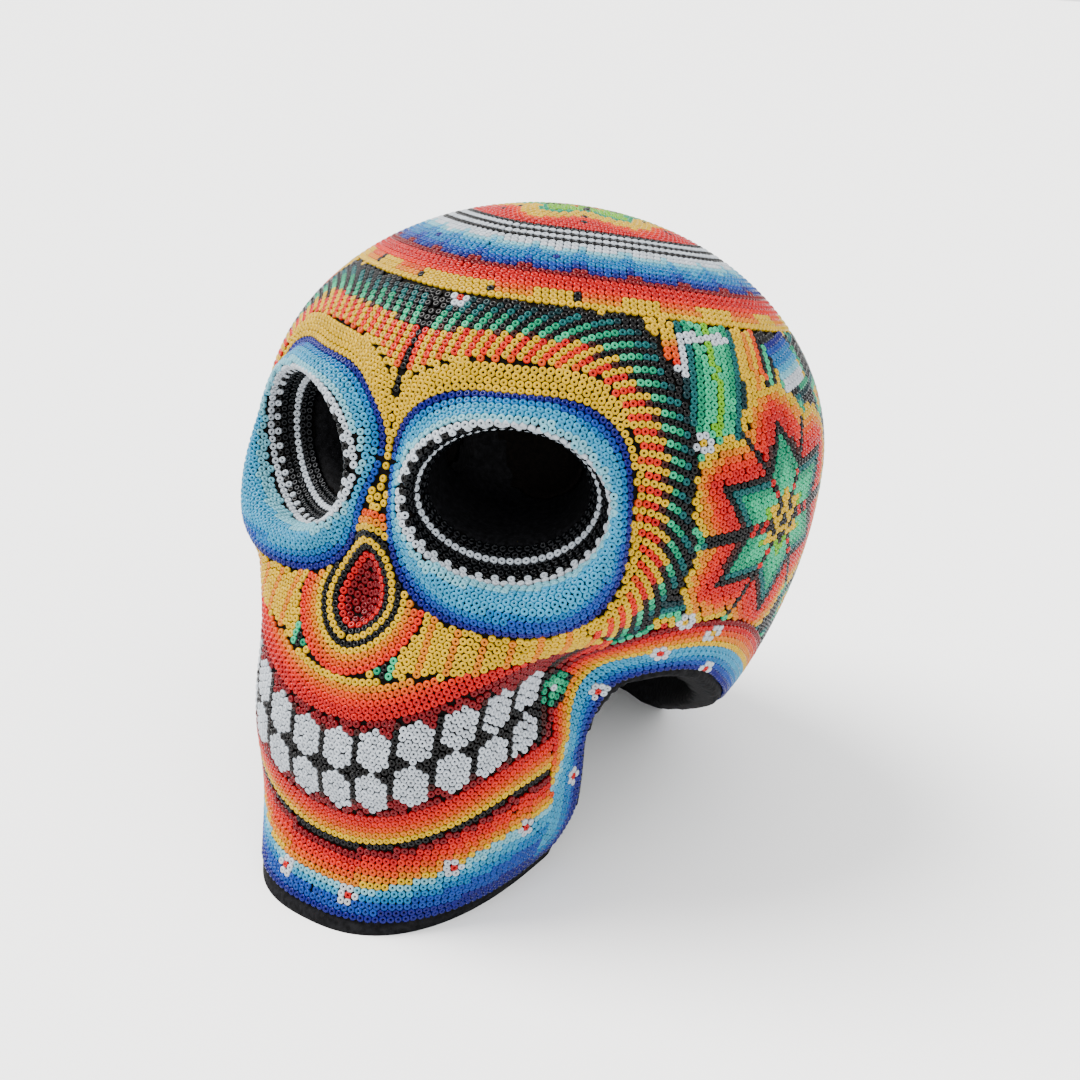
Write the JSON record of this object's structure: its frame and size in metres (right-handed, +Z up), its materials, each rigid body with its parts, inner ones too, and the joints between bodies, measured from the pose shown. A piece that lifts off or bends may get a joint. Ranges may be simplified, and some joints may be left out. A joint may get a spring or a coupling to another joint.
{
  "type": "huichol beaded skull",
  "caption": "Decorative hollow skull with a fixed grinning jaw, open base and deep eye sockets, covered all over in patterned rows of glass seed beads.",
  "frame": {"origin": "on the floor under the middle of the skull's bounding box", "axes": "+Z up; the face looks along -Y, so +Y runs to the back of the head; +X is the figure's left"},
  "size_m": [0.1656, 0.1896, 0.1769],
  "materials": {
    "blank_black": "flat black paint over a cast resin shell",
    "dark_wax": "satin beeswax, darkened",
    "beads_white": "opaque glass seed beads, glossy",
    "beads_black": "opaque glass seed beads, glossy",
    "beads_red": "opaque glass seed beads, glossy",
    "beads_dark_red": "opaque glass seed beads, glossy",
    "beads_yellow": "opaque glass seed beads, glossy",
    "beads_blue": "opaque glass seed beads, glossy",
    "beads_navy": "opaque glass seed beads, glossy",
    "beads_teal": "opaque glass seed beads, glossy",
    "beads_lime": "opaque glass seed beads, glossy"
  },
  "bodies": {
    "root": {"skull_blank": "blank_black", "wax_bed": "dark_wax", "left_socket_lip": "beads_white", "right_socket_lip": "beads_white", "nose_hollow": "beads_dark_red", "crown_flower": "beads_lime", "crown_flower_border": "beads_red", "crown_white_rings": "beads_white", "crown_blue_band": "beads_blue", "crown_red_band": "beads_red", "left_eye_ring": "beads_blue", "right_eye_ring": "beads_blue", "nose_border": "beads_yellow", "upper_tooth_left_1": "beads_white", "upper_tooth_right_1": "beads_white", "upper_tooth_left_2": "beads_white", "upper_tooth_right_2": "beads_white", "upper_tooth_left_3": "beads_white", "upper_tooth_right_3": "beads_white", "upper_tooth_left_4": "beads_white", "upper_tooth_right_4": "beads_white", "upper_tooth_left_5": "beads_white", "upper_tooth_right_5": "beads_white", "upper_tooth_left_6": "beads_white", "upper_tooth_right_6": "beads_white", "lower_tooth_left_1": "beads_white", "lower_tooth_right_1": "beads_white", "lower_tooth_left_2": "beads_white", "lower_tooth_right_2": "beads_white", "lower_tooth_left_3": "beads_white", "lower_tooth_right_3": "beads_white", "lower_tooth_left_4": "beads_white", "lower_tooth_right_4": "beads_white", "lower_tooth_left_5": "beads_white", "lower_tooth_right_5": "beads_white", "lower_tooth_left_6": "beads_white", "lower_tooth_right_6": "beads_white", "tooth_outlines": "beads_black", "upper_lip": "beads_red", "lower_lip": "beads_red", "chin_band": "beads_yellow", "jaw_blue_border": "beads_blue", "left_temple_star": "beads_teal", "left_temple_petals": "beads_red", "left_arch_border": "beads_blue", "left_brow_stripes": "beads_yellow", "left_temple_steps": "beads_teal", "right_temple_star": "beads_teal", "right_temple_petals": "beads_red", "right_arch_border": "beads_blue", "right_brow_stripes": "beads_yellow", "right_temple_steps": "beads_teal", "back_flower": "beads_teal", "back_flower_petals": "beads_red", "back_blue_border": "beads_blue", "left_back_field": "beads_navy", "right_back_field": "beads_navy"}
  },
  "joints": []
}
